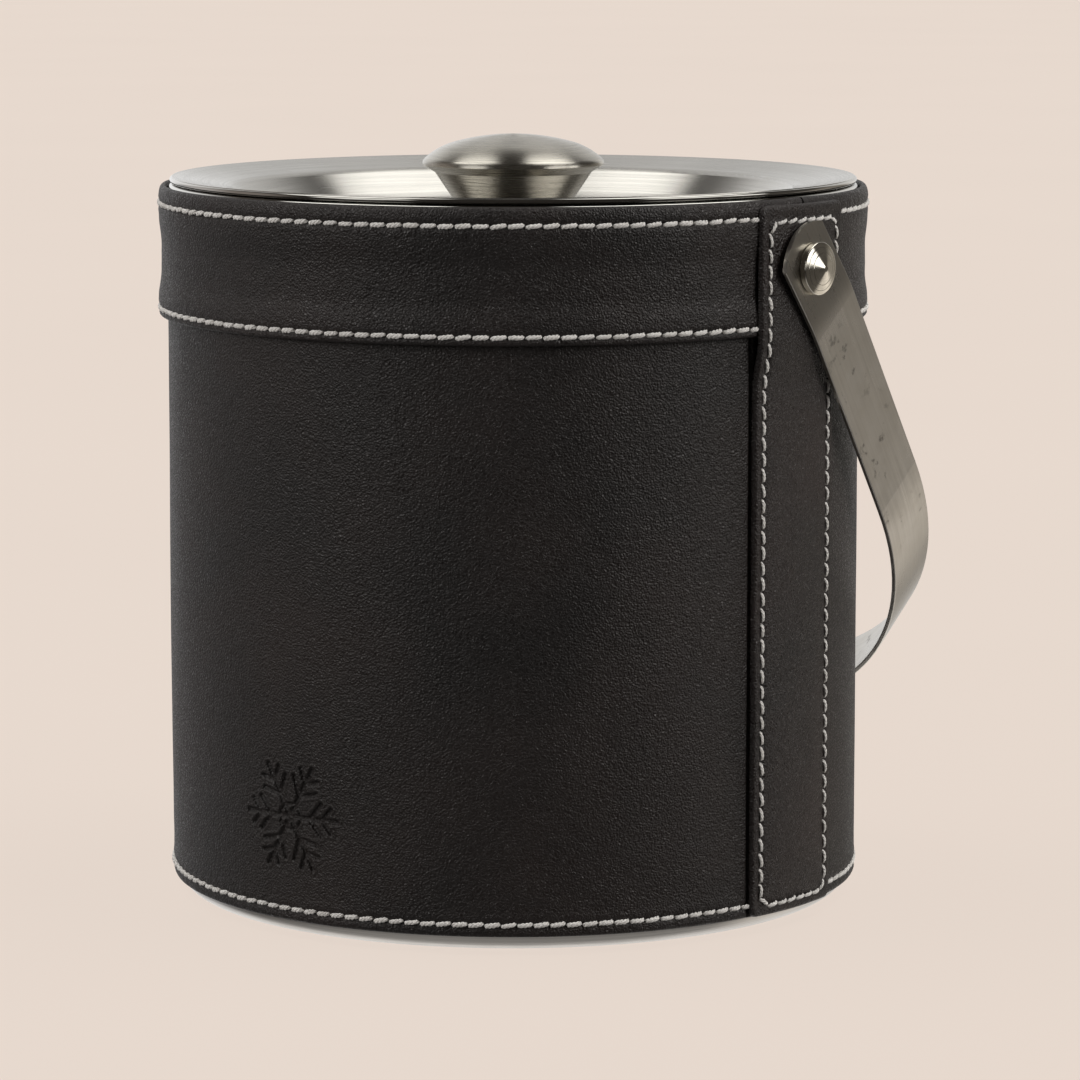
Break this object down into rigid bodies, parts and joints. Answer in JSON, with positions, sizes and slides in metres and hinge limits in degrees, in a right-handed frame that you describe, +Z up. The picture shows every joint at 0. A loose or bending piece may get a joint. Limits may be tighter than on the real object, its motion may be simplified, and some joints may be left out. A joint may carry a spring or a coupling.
{
  "type": "ice bucket",
  "caption": "Round double-walled steel ice bucket in a stitched dark leather coat, with a swinging steel strap bail and a lift-off dished lid with a turned knob.",
  "frame": {"origin": "centre of the underside, on the plane that the bucket stands on", "axes": "+Z up the bucket's axis, X along the bail's pivot axis, +Y to the back, where the bail hangs at rest"},
  "size_m": [0.1936, 0.1948, 0.1924],
  "materials": {
    "outer_shell": "brushed round the foot",
    "base_plate": "satin",
    "liner_pail": "bright, brushed round the axis",
    "foam": "open rigid foam",
    "body_leather": "fine pebble grain, half matt",
    "collar_leather": "fine pebble grain, half matt",
    "panel_leather": "fine pebble grain, half matt",
    "thread": "twisted off-white thread",
    "stud": "turned, bright",
    "spacer": "matt",
    "fastener": "plain",
    "bail": "brushed along its length",
    "lid_pan": "brushed in circles",
    "lid_knob": "turned, brushed in circles"
  },
  "bodies": {
    "bucket": {"outer_shell": "outer_shell", "base_plate": "base_plate", "liner_pail": "liner_pail", "foam_sleeve": "foam", "foam_disc": "foam", "body_wrap_front": "body_leather", "body_wrap_back": "body_leather", "collar_front": "collar_leather", "collar_back": "collar_leather", "strap_panel_right": "panel_leather", "strap_panel_left": "panel_leather", "collar_top_thread": "thread", "collar_foot_thread": "thread", "body_hem_thread": "thread", "strap_panel_thread_right": "thread", "strap_panel_thread_left": "thread", "pivot_stud_right": "stud", "pivot_stud_left": "stud", "pivot_spacer_right": "spacer", "pivot_spacer_left": "spacer", "pivot_backing_washer_right": "fastener", "pivot_backing_washer_left": "fastener", "pivot_nut_right": "fastener", "pivot_nut_left": "fastener"},
    "bail": {"bail_strap": "bail"},
    "lid": {"lid_pan": "lid_pan", "lid_knob": "lid_knob", "lid_knob_washer": "fastener", "lid_knob_screw": "fastener"}
  },
  "joints": [
    {"name": "bail_swing", "type": "hinge", "parent": "bucket", "child": "bail", "pos_m": [0, 0, 0.1631], "axis": [1, 0, 0], "range_deg": [0, 283.6]},
    {"name": "lid_lift", "type": "slide", "parent": "bucket", "child": "lid", "axis": [0, 0, 1], "range_m": [0, 0.045]}
  ]
}
